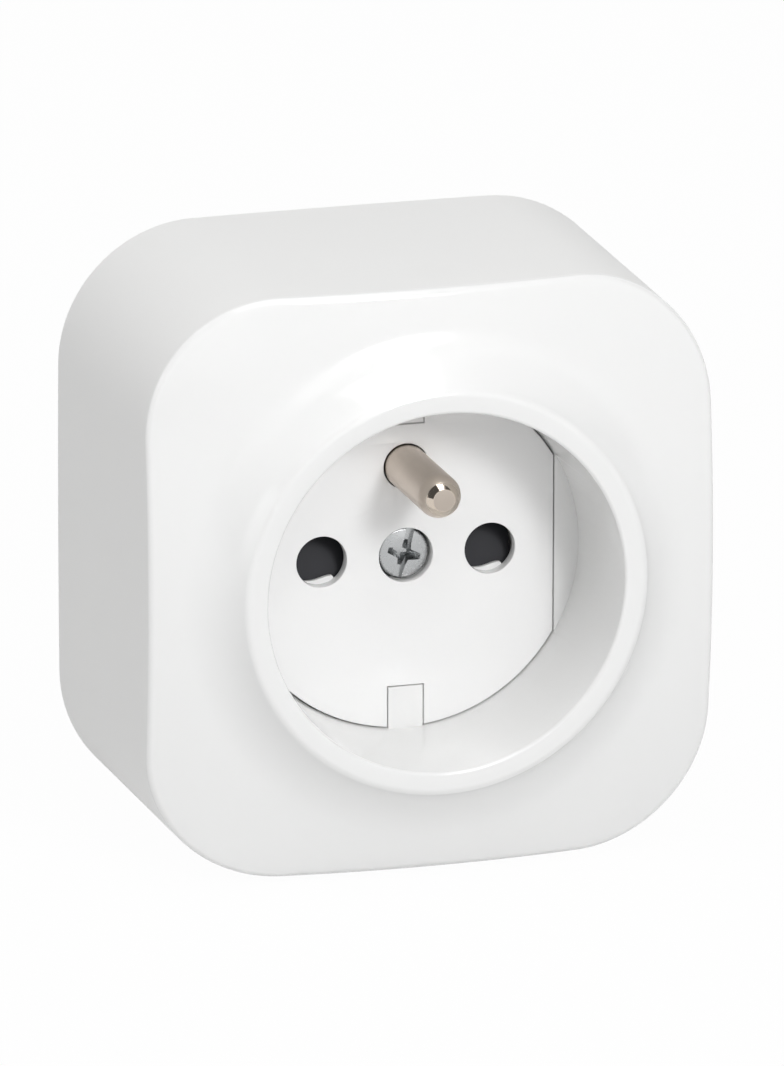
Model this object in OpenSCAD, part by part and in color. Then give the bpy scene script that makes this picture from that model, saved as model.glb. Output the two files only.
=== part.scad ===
// Surface mounted two-pole socket outlet with an earth pin and a safety shutter.
// Every piece is drawn with x to the right, y up and z out of the wall, then the
// module on_wall() stands the lot upright, with the wall face in the plane y = 0.

/* [Cover] */
// Width of the cover at the wall
cover_w = 64.2; // [60:0.1:70]
// Height of the cover at the wall
cover_h = 65.4; // [61:0.1:71]
// Radius of the cover's corners
corner_r = 15; // [10:0.5:18]
// How far each side bulges between its corners
side_bow = 0.25; // [0:0.05:0.6]
// How much each side leans in from the wall to the front
side_draft = 0.3; // [0:0.05:0.8]
// Height of the front above the wall where a side's middle meets it
side_z = 34.7; // [33:0.1:36.5]
// Curvature of the domed front, as the fall in height for each square millimetre of radius
dome_fall = 0.0037; // [0.002:0.0001:0.005]
// Radius of the rounded edge between side and front
edge_r = 0.9; // [0.5:0.1:1.6]
// Wall of the cover
cover_wall = 2; // [1.6:0.1:2.4]

/* [Well] */
// Height of the rim round the well above the wall
rim_z = 40.1; // [39.5:0.1:42]
// Radius of the well at its mouth
mouth_r = 20; // [19.8:0.1:20.6]
// How much the well narrows from its mouth to its floor
well_taper = 0.5; // [0.3:0.1:0.6]
// Radius of the rounded edge of the mouth
mouth_edge_r = 0.4; // [0.3:0.1:1]
// Width of the flat crown of the rim
crown_w = 1.4; // [0.8:0.1:1.8]
// Radius of the rounded outer edge of the crown
crown_edge_r = 1; // [0.6:0.1:1.6]
// Distance from the crown to where the hollow flank runs out into the domed front
flank_w = 6.7; // [5:0.1:8]
// Wall of the tube round the well
tube_wall = 1.8; // [1.4:0.1:2.2]
// Thickness of the ledge that carries the insert
ledge_t = 2.2; // [1.6:0.1:2.6]
// Width of the ledge
ledge_w = 2.7; // [2.3:0.1:2.9]

/* [Insert] */
// Height of the insert's face above the wall
face_z = 24.7; // [24.4:0.1:25]
// Thickness of the insert's face
face_t = 1.4; // [1.2:0.1:1.6]
// Depth of each flat on the insert's sides
flat_depth = 2.7; // [2.4:0.1:2.8]
// Width of the keys that turn the insert the right way up
key_w = 3.9; // [3:0.1:5]
// Length of the keys
key_len = 4.7; // [3.8:0.1:4.8]
// Gap all round the insert
insert_gap = 0.2; // [0.1:0.05:0.3]
// Gap between the skirt behind the face and the ledge
skirt_gap = 0.4; // [0.3:0.1:0.6]
// Wall of the skirt
skirt_wall = 0.9; // [0.7:0.1:1.1]

/* [Contacts] */
// Distance between the two contact holes
pin_pitch = 19; // [18.8:0.1:19.2]
// Diameter of the contact holes
hole_d = 5.7; // [5.2:0.1:6]
// Distance from the centre of each contact hole down to the lip at its foot
lip_y = 2.45; // [2.4:0.05:2.7]
// Distance of the earth pin above the centre
earth_y = 10; // [9.8:0.1:10.2]
// Diameter of the earth pin
earth_d = 4.8; // [4.7:0.05:4.9]
// Length of the earth pin beyond the insert's face
earth_len = 14; // [13:0.1:14.6]
// Thickness of the brass strip
strip_t = 0.8; // [0.6:0.1:1]
// Width of the contact jaws
jaw_w = 5; // [4:0.5:6]

/* [Shutter] */
// Travel of the shutter
shutter_travel = 5.5; // [5.4:0.1:5.6]
// Width of the shutter across its lobes
shutter_w = 25.2; // [24.8:0.1:25.4]
// Depth of the shutter
shutter_t = 3.4; // [3:0.1:3.5]
// Wire of the return spring
spring_wire = 0.4; // [0.3:0.05:0.45]
// Outer diameter of the return spring
spring_d = 3.6; // [3:0.1:4]
// Turns of the return spring
spring_turns = 4; // [3:0.5:4]

/* [Screws] */
// Diameter of the cover screw's head
head_d = 5.3; // [5:0.1:5.6]
// Depth of the head below the insert's face
head_sink = 0.85; // [0.5:0.05:1.2]
// Thickness of the head
head_t = 2; // [1.6:0.1:2.2]
// Diameter of the cover screw's shank
shank_d = 3.3; // [3:0.1:3.5]
// Angle that the screw's slot leans from upright
slot_turn = -16; // [-90:1:90]

/* [Base] */
// Thickness of the mounting plate
plate_t = 2.5; // [2:0.1:3]
// Height of the rim round the mounting plate
plate_rim_z = 6; // [4:0.5:9]
// Gap between the cover and the mounting plate
cover_gap = 0.25; // [0.15:0.05:0.4]
// Distance between the two wall screws
wall_pitch = 48; // [46:0.5:49]
// Diameter of the holes for the wall screws
wall_hole_d = 4.2; // [3.8:0.1:4.6]
// Height of the carrier's front above the wall
carrier_z = 17.6; // [17:0.1:17.8]
// Width of the carrier
carrier_w = 32; // [31:0.5:34]
// Distance from the centre to the carrier's upper end
carrier_top = 24; // [23.5:0.1:25]
// Distance from the centre to the carrier's lower end
carrier_low = 20.5; // [19.5:0.1:21]

/* [Hidden] */

white = [0.93, 0.93, 0.92];
off_white = [0.86, 0.86, 0.84];
black = [0.12, 0.12, 0.13];
nickel = [0.72, 0.68, 0.62];
zinc = [0.78, 0.80, 0.82];
steel = [0.66, 0.67, 0.68];
brass = [0.80, 0.66, 0.34];

$fn = 64;
eps = 0.01;
cut = 1;             // how far a cutting shape stands out of what it cuts
fit = 0.05;          // gap between pieces that are pressed or clamped together
slide_gap = 0.1;     // gap between pieces that are slid over each other
well_r = mouth_r - well_taper;
insert_r = well_r - insert_gap;
insert_flat = insert_r - flat_depth;
key_tip = insert_r - key_len;
ledge_r = well_r - ledge_w;
skirt_r = ledge_r - skirt_gap;
hole_r = hole_d / 2;
pin_x = pin_pitch / 2;
seat_z = face_z - face_t;
ledge_z = seat_z - ledge_t;
lip_t = 0.4;

// Places a piece drawn with z out of the wall into the upright frame.
module on_wall() {
    rotate([90, 0, 0]) children();
}

// Cover

corner_steps = 9;
side_steps = 4;

// One corner of a rounded rectangle, then the straight run to the next corner.
function corner_points(hw, hh, r, sx, sy, from) =
    [for (i = [0 : corner_steps])
        let (a = from + 90 * i / corner_steps)
        [sx * (hw - r) + r * cos(a), sy * (hh - r) + r * sin(a)]];
function run_points(p, q) = [for (i = [1 : side_steps - 1]) p + (q - p) * i / side_steps];
function plain_outline(hw, hh, r) =
    let (a = corner_points(hw, hh, r, 1, 1, 0),
         b = corner_points(hw, hh, r, -1, 1, 90),
         c = corner_points(hw, hh, r, -1, -1, 180),
         d = corner_points(hw, hh, r, 1, -1, 270))
    concat(a, run_points(a[corner_steps], b[0]),
           b, run_points(b[corner_steps], c[0]),
           c, run_points(c[corner_steps], d[0]),
           d, run_points(d[corner_steps], a[0]));
// The outline of the cover: its sides bulge a little, its corners are arcs.
function outline(inset) =
    let (hw = cover_w / 2 - side_bow - inset,
         hh = cover_h / 2 - side_bow - inset,
         r = corner_r - inset)
    [for (p = plain_outline(hw, hh, r))
        [p[0] * (1 + side_bow / hw * (1 - pow(p[1] / hh, 2))),
         p[1] * (1 + side_bow / hh * (1 - pow(p[0] / hw, 2)))]];

// Height of the domed front at a radius, without the rim.
dome_top = side_z + dome_fall * pow(cover_w / 2, 2);
function dome_z(r) = dome_top - dome_fall * r * r;
function dome_angle(r) = atan(2 * dome_fall * r);

// The hollow flank is an arc. It leaves the dome tangentially at flank_end_r and meets
// the rounded outer edge of the crown tangentially, which fixes its radius.
crown_r = mouth_r + mouth_edge_r + crown_w;
flank_end_r = min(crown_r + flank_w, cover_w / 2 - side_draft - edge_r - 1);
flank_start = dome_angle(flank_end_r);
flank_normal = [sin(flank_start), cos(flank_start)];
flank_foot = [flank_end_r, dome_z(flank_end_r)];
crown_centre = [crown_r, rim_z - crown_edge_r];
flank_span = flank_foot - crown_centre;
flank_r = (flank_span * flank_span - pow(crown_edge_r, 2))
    / (2 * (crown_edge_r - flank_span * flank_normal));
flank_centre = flank_foot + flank_r * flank_normal;
// Steepest angle of the flank, where it meets the edge of the crown.
flank_top = atan2(flank_centre[0] - crown_r, flank_centre[1] - crown_centre[1]);
flank_steps = 6;
function flank_point(i) =
    let (a = flank_start + (flank_top - flank_start) * i / flank_steps)
    flank_centre - flank_r * [sin(a), cos(a)];
crown_steps = 3;
function crown_point(i) =
    let (a = flank_top * (1 - i / crown_steps))
    crown_centre + crown_edge_r * [sin(a), cos(a)];

// Section of the outside of the cover along one radius, from the wall to the crown.
edge_steps = 4;
dome_steps = 3;
function cover_section(rho) =
    let (rs = rho - side_draft,
         lean = dome_angle(rs),
         cr = rs - edge_r,
         cz = dome_z(cr + edge_r * sin(lean)) - edge_r * cos(lean),
         re = cr + edge_r * sin(lean))
    concat([[rho, 0]],
           [for (i = [0 : edge_steps])
               let (a = (90 - lean) * i / edge_steps)
               [cr + edge_r * cos(a), cz + edge_r * sin(a)]],
           [for (i = [1 : dome_steps])
               let (r = re + (flank_end_r - re) * i / dome_steps) [r, dome_z(r)]],
           [for (i = [1 : flank_steps]) flank_point(i)],
           [for (i = [1 : crown_steps]) crown_point(i)]);

module cover_blank() {
    rim = outline(0);
    n = len(rim);
    sections = [for (p = rim) cover_section(norm(p))];
    m = len(sections[0]);
    points = concat([for (j = [0 : m - 1]) for (i = [0 : n - 1])
                        let (s = sections[i][j], u = rim[i] / norm(rim[i]))
                        [u[0] * s[0], u[1] * s[0], s[1]]]);
    skin = [for (j = [0 : m - 2]) for (i = [0 : n - 1])
               let (k = (i + 1) % n)
               each [[j * n + i, (j + 1) * n + i, (j + 1) * n + k],
                     [j * n + i, (j + 1) * n + k, j * n + k]]];
    wall_face = [[for (i = [0 : n - 1]) i]];
    crown_face = [[for (i = [n - 1 : -1 : 0]) (m - 1) * n + i]];
    polyhedron(points, concat(skin, wall_face, crown_face), convexity = 4);
}

// The well, with its tapered wall and rounded mouth, down to the ledge.
module well_cut() {
    e = mouth_edge_r;
    rotate_extrude($fn = 96)
        polygon(concat([[0, seat_z], [well_r, seat_z], [mouth_r, rim_z - e]],
                       [for (a = [20 : 20 : 80])
                           [mouth_r + e - e * cos(a), rim_z - e + e * sin(a)]],
                       [[mouth_r + e, rim_z], [mouth_r + e, rim_z + 1], [0, rim_z + 1]]));
}

// Room inside the cover, between its walls, its front and the tube round the well.
room_step = 3.5;
module cover_room() {
    t = cover_wall;
    inner = flank_end_r - room_step;
    crown_room = rim_z - t - mouth_edge_r;
    difference() {
        intersection() {
            translate([0, 0, -cut]) linear_extrude(rim_z) polygon(outline(t));
            rotate_extrude($fn = 96)
                polygon(concat([[0, -2 * cut], [cover_w, -2 * cut]],
                               [for (r = [cover_w * 0.66 : -3 : inner]) [r, dome_z(r) - t]],
                               [[crown_r, crown_room], [0, crown_room]]));
        }
        translate([0, 0, ledge_z]) cylinder(h = rim_z, r = well_r + tube_wall, $fn = 96);
    }
}

// The plan of the insert's face, grown by a gap.
module insert_plan(gap) {
    difference() {
        intersection() {
            circle(r = insert_r + gap, $fn = 128);
            square([2 * (insert_flat + gap), 2 * insert_r + 2], center = true);
        }
        for (s = [-1, 1])
            translate([0, s * (key_tip + gap + insert_r / 2)])
                square([key_w + 2 * insert_gap - 2 * gap, insert_r], center = true);
    }
}

// Walls that are thinned from inside, to be broken out for a surface cable.
knockout_w = 15;
knockout_z = 11;
knockout_skin = 0.9;
module knockouts() {
    for (s = [-1, 1])
        translate([0, s * (cover_h / 2 - cover_wall), knockout_z / 2 - eps])
            cube([knockout_w, 2 * (cover_wall - knockout_skin), knockout_z], center = true);
}

module cover() {
    color(white) difference() {
        cover_blank();
        cover_room();
        // The seat of the insert, which leaves the two keys and the side segments.
        difference() {
            well_cut();
            translate([0, 0, seat_z - cut]) linear_extrude(face_t + cut) difference() {
                circle(r = well_r + cut);
                insert_plan(insert_gap);
            }
        }
        difference() {
            translate([0, 0, ledge_z - cut]) cylinder(h = ledge_t + cut + eps, r = ledge_r);
            translate([0, 0, seat_z - lip_t]) for (s = [-1, 1])
                translate([-key_w / 2, s > 0 ? key_tip + insert_gap : -ledge_r - cut, 0])
                    cube([key_w, ledge_r + cut - key_tip - insert_gap, face_t]);
        }
        knockouts();
    }
}

// Insert, shutter and its cage

boss_r = 3.9;
recess_gap = 0.4;
recess_r = head_d / 2 + recess_gap;
shank_gap = 0.3;
head_z = face_z - head_sink - head_t;
cage_t = 1;
cage_z = carrier_z + 0.5;
cage_top = cage_z + cage_t;
boss_foot = carrier_z + slide_gap;
shutter_gap = 0.3;
guide_x = shutter_w / 2 + shutter_gap;
guide_t = 0.8;
guide_low = 7;
guide_high = 6;
seat_half = 3.5;

shutter_top = 3.1;
shutter_edge = 2.6;
shutter_foot = 6;
shutter_back = cage_top + 0.15;
ramp_drop = 2.2;
lobe_cut = 2.8;
boss_room_r = boss_r + 0.4;

// Below the shutter there is room for its travel and for the closed spring.
spring_closed = (spring_turns + 1) * spring_wire;
stop_y = shutter_foot + shutter_travel + spring_closed + 0.2;

// A pipe from one height to another.
module ring(r_out, r_in, z0, z1) {
    translate([0, 0, z0]) difference() {
        cylinder(h = z1 - z0, r = r_out);
        translate([0, 0, -cut]) cylinder(h = z1 - z0 + 2 * cut, r = r_in);
    }
}

module insert() {
    skirt_foot = cage_top + fit;
    color(white) difference() {
        union() {
            translate([0, 0, seat_z]) linear_extrude(face_t) insert_plan(0);
            difference() {
                ring(skirt_r, skirt_r - skirt_wall, skirt_foot, seat_z + eps);
                cube([key_w + 4 * insert_gap, 3 * skirt_r, 3 * face_z], center = true);
            }
            translate([0, 0, boss_foot]) cylinder(h = seat_z - boss_foot + eps, r = boss_r);
            shutter_guides(skirt_foot);
            contact_lips();
        }
        for (s = [-1, 1])
            translate([s * pin_x, 0, seat_z]) cylinder(h = face_t + cut, r = hole_r);
        translate([0, earth_y, cage_z]) cylinder(h = face_z, r = earth_d / 2 + insert_gap);
        translate([0, 0, head_z]) cylinder(h = face_z, r = recess_r);
        translate([0, 0, carrier_z]) cylinder(h = face_z, r = shank_d / 2 + shank_gap);
    }
}

// Guides at the shutter's sides and the seat of its spring, all inside the skirt.
module shutter_guides(foot) {
    h = seat_z - foot + eps;
    translate([0, 0, foot]) intersection() {
        cylinder(h = h, r = skirt_r - skirt_wall / 2);
        union() {
            for (s = [-1, 1])
                translate([s > 0 ? guide_x : -guide_x - guide_t, -guide_low, 0])
                    cube([guide_t, guide_low + guide_high, h]);
            translate([-seat_half, -stop_y - guide_t, 0]) cube([2 * seat_half, guide_t, h]);
        }
    }
}

// A straight lip closes the foot of each contact hole down to the pin's own radius. A nub
// at its right end stops the shutter from catching there.
lip_rim = 0.5;
nub_x = 1.5;
nub_r = 0.45;
module contact_lips() {
    out = hole_r + lip_rim;
    for (s = [-1, 1])
        translate([s * pin_x, 0, seat_z - lip_t]) {
            intersection() {
                cylinder(h = lip_t + eps, r = out);
                translate([-out, -out, 0]) cube([2 * out, out - lip_y, lip_t + eps]);
            }
            translate([nub_x, -lip_y, 0]) cylinder(h = lip_t + eps, r = nub_r);
        }
}

// A U that straddles the screw boss. Plug pins press on its two ramps and drive it down.
module shutter() {
    w = shutter_w / 2;
    front = shutter_back + shutter_t;
    color(black) intersection() {
        translate([-w, 0, 0]) rotate([90, 0, 90])
            linear_extrude(shutter_w)
                polygon([[-shutter_foot, shutter_back], [-shutter_foot, front],
                         [-shutter_edge, front], [shutter_top, front - ramp_drop],
                         [shutter_top, shutter_back]]);
        translate([0, 0, shutter_back - cut]) linear_extrude(shutter_t + 2 * cut) difference() {
            polygon([[-w, shutter_top], [-w, -shutter_edge], [-w + lobe_cut, -shutter_foot],
                     [w - lobe_cut, -shutter_foot], [w, -shutter_edge], [w, shutter_top]]);
            circle(r = boss_room_r);
            translate([-boss_room_r, 0]) square([2 * boss_room_r, shutter_top + cut]);
        }
        // The lobes stay clear of the skirt's inside.
        translate([0, 0, shutter_back - cut])
            cylinder(h = shutter_t + 2 * cut, r = skirt_r - skirt_wall - shutter_gap);
    }
}

// Disc on the end of the skirt. It keeps the shutter in and leaves the pins their way.
module shutter_retainer() {
    h = cage_t + 2 * cut;
    color(off_white) translate([0, 0, cage_z]) difference() {
        cylinder(h = cage_t, r = skirt_r);
        for (s = [-1, 1])
            translate([s * pin_x, 0, -cut]) cylinder(h = h, r = hole_r + shutter_gap);
        translate([0, 0, -cut]) cylinder(h = h, r = boss_r + slide_gap);
        translate([0, earth_y, -cut]) cylinder(h = h, r = earth_d / 2 + 2 * insert_gap);
    }
}

// Sweeps a round section along a list of points.
function unit(v) = v / norm(v);
module tube(path, r, sides) {
    n = len(path);
    points = [for (i = [0 : n - 1])
        let (t = unit(path[min(i + 1, n - 1)] - path[max(i - 1, 0)]),
             u = unit(cross(t, [0, 1, 0.001])),
             v = cross(u, t))
        for (k = [0 : sides - 1])
            path[i] + r * (cos(360 * k / sides) * u + sin(360 * k / sides) * v)];
    skin = [for (i = [0 : n - 2]) for (k = [0 : sides - 1])
        let (l = (k + 1) % sides)
        each [[i * sides + k, i * sides + l, (i + 1) * sides + l],
              [i * sides + k, (i + 1) * sides + l, (i + 1) * sides + k]]];
    first = [[for (k = [sides - 1 : -1 : 0]) k]];
    last = [[for (k = [0 : sides - 1]) (n - 1) * sides + k]];
    polyhedron(points, concat(skin, first, last), convexity = 6);
}

spring_z = shutter_back + shutter_t / 2;
spring_steps = 14;
wire_sides = 8;
module shutter_spring() {
    r = (spring_d - spring_wire) / 2;
    low = -stop_y + spring_wire / 2 + slide_gap;
    high = -shutter_foot - spring_wire / 2 - slide_gap;
    n = spring_turns * spring_steps;
    path = [for (i = [0 : n])
        let (a = 360 * i / spring_steps)
        [r * cos(a), low + (high - low) * i / n, spring_z + r * sin(a)]];
    color(steel) tube(path, spring_wire / 2, wire_sides);
}

// Mounting base

column_r = 4.6;
plate_rim_t = 1.4;
wall_boss_r = 4.4;
wall_boss_h = 1.5;
nut_r = 3;
nut_len = 8;
nut_z = carrier_z - nut_len;
nut_groove = 0.3;
nut_groove_w = 0.8;
shank_room = 2.5;
post_r = 2.8;
post_inset = 4.5;
post_x = carrier_w / 2 - post_inset;
post_y = 15.5;
post_z = 6.5;
post_hole_r = 1.2;
post_floor = 1.5;
entry_w = 17;
entry_h = 7;
entry_inset = 8.7;
entry_y = -cover_h / 2 + entry_inset;

module base() {
    rim_inset = cover_wall + cover_gap;
    color(off_white) difference() {
        union() {
            linear_extrude(plate_t) polygon(outline(rim_inset));
            linear_extrude(plate_rim_z) difference() {
                polygon(outline(rim_inset));
                polygon(outline(rim_inset + plate_rim_t));
            }
            cylinder(h = carrier_z, r = column_r);
            for (s = [-1, 1]) {
                translate([s * wall_pitch / 2, 0, 0])
                    cylinder(h = plate_t + wall_boss_h, r = wall_boss_r);
                translate([s * post_x, post_y, 0]) cylinder(h = post_z, r = post_r);
            }
        }
        for (s = [-1, 1]) {
            translate([s * wall_pitch / 2, 0, -cut])
                cylinder(h = plate_t + wall_boss_h + 2 * cut, r = wall_hole_d / 2);
            translate([s * post_x, post_y, post_floor]) cylinder(h = post_z, r = post_hole_r);
        }
        translate([0, 0, nut_z]) cylinder(h = nut_len + cut, r = nut_r + fit);
        translate([0, 0, nut_z - shank_room]) cylinder(h = nut_len, r = shank_d / 2 + shank_gap);
        translate([-entry_w / 2, entry_y - entry_h / 2, -cut])
            cube([entry_w, entry_h, plate_t + 2 * cut]);
        // The rim opens where a surface cable comes in.
        for (s = [-1, 1])
            translate([0, s * (cover_h / 2 - rim_inset), plate_t + plate_rim_z / 2])
                cube([knockout_w, 2 * (plate_rim_t + side_bow), plate_rim_z], center = true);
    }
}

module cover_nut() {
    color(brass) translate([0, 0, nut_z]) difference() {
        cylinder(h = nut_len - 2 * slide_gap, r = nut_r);
        translate([0, 0, -cut]) cylinder(h = nut_len + 2 * cut, r = shank_d / 2 + slide_gap);
        for (z = [nut_len / 4, nut_len * 5 / 8])
            translate([0, 0, z])
                ring(nut_r + cut, nut_r - nut_groove, 0, nut_groove_w);
    }
}

// Contact carrier

floor_z = 4.6;
jaw_room_w = 8.6;
jaw_room_h = 9.6;
strip_room = 0.2;
terminal_y = -14.5;
terminal_room = 8;
earth_terminal_y = 19.3;
strap_z = 8;
terminal_size = 7;
rivet_r = 1.5;
rivet_room_r = 1.9;
rivet_room_t = 2.2;
fixing_floor = 1.6;

module contact_carrier() {
    color(off_white) difference() {
        translate([-carrier_w / 2, -carrier_low, plate_t])
            cube([carrier_w, carrier_top + carrier_low, carrier_z - plate_t]);
        translate([0, 0, -cut]) cylinder(h = carrier_z + 2 * cut, r = column_r + slide_gap);
        for (s = [-1, 1]) {
            // Chamber of the jaws, channel of the strip and room for the terminal.
            translate([s * pin_x - jaw_room_w / 2, -jaw_room_h / 2, floor_z])
                cube([jaw_room_w, jaw_room_h, carrier_z]);
            translate([s * pin_x - jaw_w / 2 - strip_room, terminal_y, floor_z])
                cube([jaw_w + 2 * strip_room, -terminal_y, carrier_z]);
            translate([s * pin_x - terminal_room / 2, -carrier_low - cut, floor_z])
                cube([terminal_room, terminal_y + terminal_room / 2 + carrier_low + cut, carrier_z]);
            // Recess of the fixing screw over the post of the base.
            translate([s * post_x, post_y, 0]) {
                cylinder(h = post_z + slide_gap, r = post_r + slide_gap);
                cylinder(h = carrier_z, r = fixing_r + strip_room);
                translate([0, 0, post_z + fixing_floor])
                    cylinder(h = carrier_z, r = fixing_head_r + shutter_gap);
            }
        }
        // Channel of the earth pin, its strap and its terminal.
        translate([-terminal_room / 2, earth_y - terminal_room / 2, strap_z])
            cube([terminal_room, carrier_top - earth_y + terminal_room / 2 + cut, carrier_z]);
        translate([0, earth_y, strap_z - rivet_room_t]) cylinder(h = carrier_z, r = rivet_room_r);
    }
}

// Slotted screws: a shank under a cheese head, with the head's foot at a height.
slot_w = 0.75;
slot_depth = 0.95;
module slotted_screw(foot, shank_r, shank_len, head_r, head_h) {
    color(zinc) difference() {
        union() {
            translate([0, 0, foot - shank_len]) cylinder(h = shank_len + eps, r = shank_r);
            translate([0, 0, foot]) cylinder(h = head_h, r = head_r);
        }
        translate([-head_r - cut, -slot_w / 2, foot + head_h - slot_depth])
            cube([2 * (head_r + cut), slot_w, head_h]);
    }
}

fixing_r = 1.15;
fixing_len = 6;
fixing_head_r = 2.5;
fixing_head_h = 1.8;
module carrier_screw() {
    slotted_screw(post_z + fixing_floor + fit, fixing_r, fixing_len, fixing_head_r, fixing_head_h);
}
module carrier_screw_left() { translate([-post_x, post_y, 0]) carrier_screw(); }
module carrier_screw_right() { translate([post_x, post_y, 0]) carrier_screw(); }

// Live contacts

jaw_z = carrier_z - 1;
neck_z = jaw_z - 3;
jaw_foot_h = 2;
// Half the gap between the jaws: wide at the foot, closed at the neck, open at the lips.
jaw_foot = 3.1;
jaw_neck = 2.2;
jaw_lip = 2.9;

module jaw_leaf() {
    polygon([[jaw_foot, floor_z], [jaw_foot + strip_t, floor_z],
             [jaw_foot + strip_t, floor_z + jaw_foot_h], [jaw_neck + strip_t, neck_z],
             [jaw_lip + strip_t, jaw_z], [jaw_lip, jaw_z],
             [jaw_neck, neck_z], [jaw_foot, floor_z + jaw_foot_h]]);
}

module live_contact() {
    color(brass) {
        translate([0, jaw_w / 2, 0]) rotate([90, 0, 0]) linear_extrude(jaw_w) {
            jaw_leaf();
            mirror([1, 0]) jaw_leaf();
            translate([-jaw_foot - eps, floor_z]) square([2 * jaw_foot + 2 * eps, strip_t]);
        }
        translate([-jaw_w / 2, terminal_y - terminal_size / 2, floor_z])
            cube([jaw_w, terminal_size / 2 - terminal_y, strip_t]);
    }
}
module line_contact() { translate([-pin_x, 0, 0]) live_contact(); }
module neutral_contact() { translate([pin_x, 0, 0]) live_contact(); }

// Steel clip that hugs both jaws just below their neck, open at the top.
clip_t = 0.4;
clip_h = 2.4;
clip_drop = 2;
clip_side = 0.4;
clip_end = 0.15;
module jaw_clip() {
    w = jaw_neck + strip_t + clip_side;
    h = jaw_w / 2 + clip_end;
    color(steel) translate([0, 0, neck_z - clip_drop]) linear_extrude(clip_h) {
        for (s = [-1, 1])
            translate([s > 0 ? w : -w - clip_t, -h - clip_t]) square([clip_t, 2 * h + clip_t]);
        translate([-w - eps, -h - clip_t]) square([2 * w + 2 * eps, clip_t]);
    }
}
module line_jaw_clip() { translate([-pin_x, 0, 0]) jaw_clip(); }
module neutral_jaw_clip() { translate([pin_x, 0, 0]) jaw_clip(); }

// Screw terminal: a brass block with a wire hole along y and a screw hole along z.
wire_r = 1.7;
wire_z = 2.6;
clamp_r = 1.5;
clamp_len = 3.6;
clamp_head_r = 2.8;
clamp_head_h = 1.9;
module terminal_block(foot, h) {
    color(brass) difference() {
        translate([-terminal_size / 2, -terminal_size / 2, foot])
            cube([terminal_size, terminal_size, h]);
        translate([0, terminal_size, foot + wire_z]) rotate([90, 0, 0])
            cylinder(h = 2 * terminal_size, r = wire_r);
        translate([0, 0, foot + wire_z]) cylinder(h = h, r = clamp_r + slide_gap);
    }
}
terminal_h = 7.5;
earth_block_h = 6;
live_foot = floor_z + strip_t;
earth_foot = strap_z + strip_t;
module line_terminal() { translate([-pin_x, terminal_y, 0]) terminal_block(live_foot, terminal_h); }
module neutral_terminal() { translate([pin_x, terminal_y, 0]) terminal_block(live_foot, terminal_h); }
module earth_terminal() { translate([0, earth_terminal_y, 0]) terminal_block(earth_foot, earth_block_h); }

module terminal_screw(top) {
    slotted_screw(top + fit, clamp_r, clamp_len, clamp_head_r, clamp_head_h);
}
module line_terminal_screw() {
    translate([-pin_x, terminal_y, 0]) terminal_screw(live_foot + terminal_h);
}
module neutral_terminal_screw() {
    translate([pin_x, terminal_y, 0]) terminal_screw(live_foot + terminal_h);
}
module earth_terminal_screw() {
    translate([0, earth_terminal_y, 0]) terminal_screw(earth_foot + earth_block_h);
}

// Earth pin and strap

flange_r = 3.5;
flange_t = 1.35;
rivet_len = 1;
tip_len = 1.3;
shoulder_r = 0.5;
tip_r = 1.25;
root_r = earth_d / 2 - 0.4;
// The tip has a rounded shoulder, then a bright cone, then a flat end.
module earth_pin() {
    top = face_z + earth_len;
    r = earth_d / 2;
    flange_z = earth_foot + fit;
    shoulder = [for (a = [15 : 15 : 75])
                   [r - shoulder_r + shoulder_r * cos(a), top - tip_len + shoulder_r * sin(a)]];
    color(nickel) translate([0, earth_y, 0]) rotate_extrude($fn = 48)
        polygon(concat([[0, strap_z - rivet_len], [rivet_r, strap_z - rivet_len],
                        [rivet_r, flange_z], [flange_r, flange_z],
                        [flange_r, flange_z + flange_t], [root_r, flange_z + flange_t],
                        [root_r, face_z], [r, face_z], [r, top - tip_len]],
                       shoulder, [[tip_r, top], [0, top]]));
}

module earth_strap() {
    low = earth_y - flange_r;
    high = earth_terminal_y + terminal_size / 2;
    color(brass) translate([0, 0, strap_z]) difference() {
        translate([-terminal_size / 2, low, 0]) cube([terminal_size, high - low, strip_t]);
        translate([0, earth_y, -cut]) cylinder(h = strip_t + 2 * cut, r = rivet_r + fit);
    }
}

// Cover screw

head_rise = 0.25;
cross_depth = 1.6;
cross_reach = 1.9;
cross_wing = 0.57;
cross_core = 0.95;
cross_taper = 1.9;
core_taper = 1.7;

// Cross recess: four tapering wings round a tapering core.
module cross_recess() {
    h = cross_depth + cut / 2;
    translate([0, 0, -cross_depth]) {
        for (a = [0, 90])
            rotate(a) linear_extrude(h, scale = cross_taper)
                square([cross_reach, cross_wing], center = true);
        linear_extrude(h, scale = core_taper) rotate(45) square(cross_core, center = true);
    }
}

module cover_screw() {
    top = face_z - head_sink;
    foot = nut_z - shank_room + cut;
    r = head_d / 2;
    dome = (r * r + head_rise * head_rise) / (2 * head_rise);
    color(zinc) rotate(slot_turn) difference() {
        union() {
            translate([0, 0, foot]) cylinder(h = top - cut / 2 - foot, r = shank_d / 2);
            intersection() {
                translate([0, 0, head_z + fit]) cylinder(h = head_t + head_rise, r = r);
                translate([0, 0, top + head_rise - dome]) sphere(r = dome, $fn = 96);
            }
        }
        translate([0, 0, top + head_rise]) cross_recess();
        translate([-slot_w / 2, -r - cut, top - slot_depth / 2]) cube([slot_w, head_d + 2 * cut, 2]);
    }
}

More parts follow.
